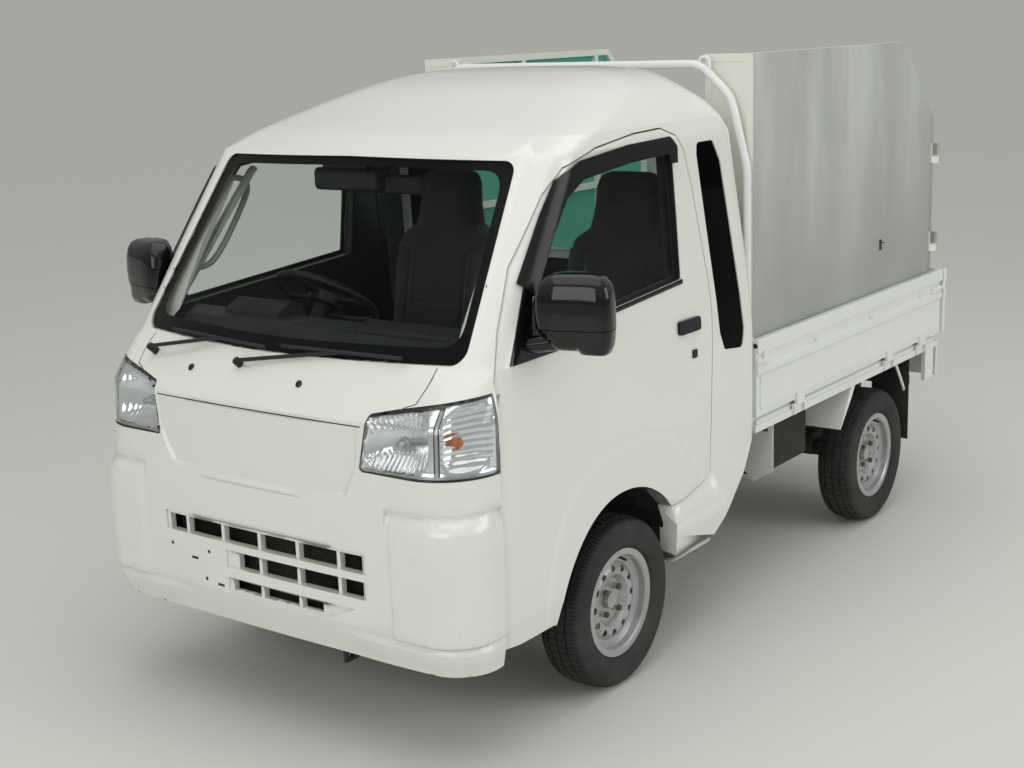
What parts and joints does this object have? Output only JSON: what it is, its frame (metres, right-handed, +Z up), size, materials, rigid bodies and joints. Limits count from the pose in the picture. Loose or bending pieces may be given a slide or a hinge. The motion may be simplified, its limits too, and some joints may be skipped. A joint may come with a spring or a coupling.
{
  "type": "kei truck with a raised cab roof, drop-side bed and sheet metal box sides",
  "caption": "Small cab-over truck with a raised roof, a drop-side bed and tall sheet panels standing along the bed's sides.",
  "frame": {"origin": "on the floor under the centre of the truck's box", "axes": "+X the truck's left side, -Y the way it drives, +Z up"},
  "size_m": [1.8698, 3.395, 1.893],
  "materials": {
    "white_paint": "warm gloss white body paint",
    "bed_paint": "white bed paint with scuffs",
    "frame_paint": "black chassis paint, dusty",
    "aluminium_sheet": "matte weathered sheet with streaks",
    "tube_paint": "cream white paint on tube",
    "lining": "turquoise painted board",
    "clear_glass": "clear glass",
    "dark_glass": "dark glass",
    "lamp": "clear lamp lens over a bright reflector",
    "red_lamp": "red and amber lamp lens",
    "black_plastic": "gloss black plastic",
    "trim_plastic": "grained dark interior plastic",
    "seat_fabric": "dark woven seat cloth",
    "tyre": "black rubber",
    "wheel_steel": "silver painted steel wheel",
    "raw_metal": "dark dusty metal",
    "flap": "black rubber flap"
  },
  "bodies": {
    "chassis": {"cab_shell": "white_paint", "high_roof": "white_paint", "front_bumper": "white_paint", "windscreen": "clear_glass", "fixed_windows": "dark_glass", "headlamps": "lamp", "dashboard": "trim_plastic", "steering_wheel": "trim_plastic", "seat_driver": "seat_fabric", "seat_passenger": "seat_fabric", "wipers": "black_plastic", "cabin_mirror": "black_plastic", "guard_frame": "bed_paint", "chassis_frame": "frame_paint", "engine_block": "raw_metal", "front_suspension": "raw_metal", "rear_axle": "raw_metal", "exhaust": "raw_metal", "fuel_tank": "frame_paint", "bed_floor": "bed_paint", "box_frame": "tube_paint", "box_skins": "aluminium_sheet", "box_linings": "lining", "tail_lamps": "red_lamp", "mud_guards": "flap"},
    "door_left": {"door_left_shell": "white_paint", "door_left_glass": "clear_glass", "door_left_mirror": "black_plastic", "door_left_fittings": "black_plastic"},
    "side_gate_left": {"gate_left": "bed_paint"},
    "rear_door_left": {"box_door_left": "aluminium_sheet"},
    "steering_left": {"knuckle_left": "raw_metal"},
    "wheel_front_left_body": {"tyre_front_left": "tyre", "wheel_front_left": "wheel_steel"},
    "wheel_rear_left_body": {"tyre_rear_left": "tyre", "wheel_rear_left": "wheel_steel"},
    "door_right": {"door_right_shell": "white_paint", "door_right_glass": "clear_glass", "door_right_mirror": "black_plastic", "door_right_fittings": "black_plastic"},
    "side_gate_right": {"gate_right": "bed_paint"},
    "rear_door_right": {"box_door_right": "aluminium_sheet"},
    "steering_right": {"knuckle_right": "raw_metal"},
    "wheel_front_right_body": {"tyre_front_right": "tyre", "wheel_front_right": "wheel_steel"},
    "wheel_rear_right_body": {"tyre_rear_right": "tyre", "wheel_rear_right": "wheel_steel"},
    "tailgate_body": {"tailgate": "bed_paint"}
  },
  "joints": [
    {"name": "door_left_hinge", "type": "hinge", "parent": "chassis", "child": "door_left", "pos_m": [0.73, -1.48, 0.6], "axis": [0, 0, -1], "range_deg": [0, 68]},
    {"name": "side_gate_left_hinge", "type": "hinge", "parent": "chassis", "child": "side_gate_left", "pos_m": [0.733, 0.82, 0.646], "axis": [0, 1, 0], "range_deg": [0, 172]},
    {"name": "rear_door_left_hinge", "type": "hinge", "parent": "chassis", "child": "rear_door_left", "pos_m": [0.722, 1.586, 1.25], "axis": [0, 0, -1], "range_deg": [0, 255]},
    {"name": "steering_left_axis", "type": "hinge", "parent": "chassis", "child": "steering_left", "pos_m": [0.5656, -0.8775, 0.2685], "axis": [-0.2302, 0, 0.9731], "range_deg": [-34, 34]},
    {"name": "wheel_front_left_spin", "type": "hinge", "parent": "steering_left", "child": "wheel_front_left_body", "pos_m": [0.6525, -0.8775, 0.2685], "axis": [1, 0, 0], "continuous": true},
    {"name": "wheel_rear_left_spin", "type": "hinge", "parent": "chassis", "child": "wheel_rear_left_body", "pos_m": [0.6525, 1.0225, 0.2685], "axis": [1, 0, 0], "continuous": true},
    {"name": "door_right_hinge", "type": "hinge", "parent": "chassis", "child": "door_right", "pos_m": [-0.73, -1.48, 0.6], "axis": [0, 0, 1], "range_deg": [0, 68]},
    {"name": "side_gate_right_hinge", "type": "hinge", "parent": "chassis", "child": "side_gate_right", "pos_m": [-0.733, 0.82, 0.646], "axis": [0, -1, 0], "range_deg": [0, 172]},
    {"name": "rear_door_right_hinge", "type": "hinge", "parent": "chassis", "child": "rear_door_right", "pos_m": [-0.722, 1.586, 1.25], "axis": [0, 0, 1], "range_deg": [0, 255]},
    {"name": "steering_right_axis", "type": "hinge", "parent": "chassis", "child": "steering_right", "pos_m": [-0.5656, -0.8775, 0.2685], "axis": [0.2302, 0, 0.9731], "range_deg": [-34, 34]},
    {"name": "wheel_front_right_spin", "type": "hinge", "parent": "steering_right", "child": "wheel_front_right_body", "pos_m": [-0.6525, -0.8775, 0.2685], "axis": [1, 0, 0], "continuous": true},
    {"name": "wheel_rear_right_spin", "type": "hinge", "parent": "chassis", "child": "wheel_rear_right_body", "pos_m": [-0.6525, 1.0225, 0.2685], "axis": [1, 0, 0], "continuous": true},
    {"name": "tailgate_hinge", "type": "hinge", "parent": "chassis", "child": "tailgate_body", "pos_m": [0, 1.693, 0.646], "axis": [-1, 0, 0], "range_deg": [0, 172]}
  ],
  "couplings": [
    {"joint": "steering_right_axis", "follows": "steering_left_axis", "ratio": 1}
  ]
}
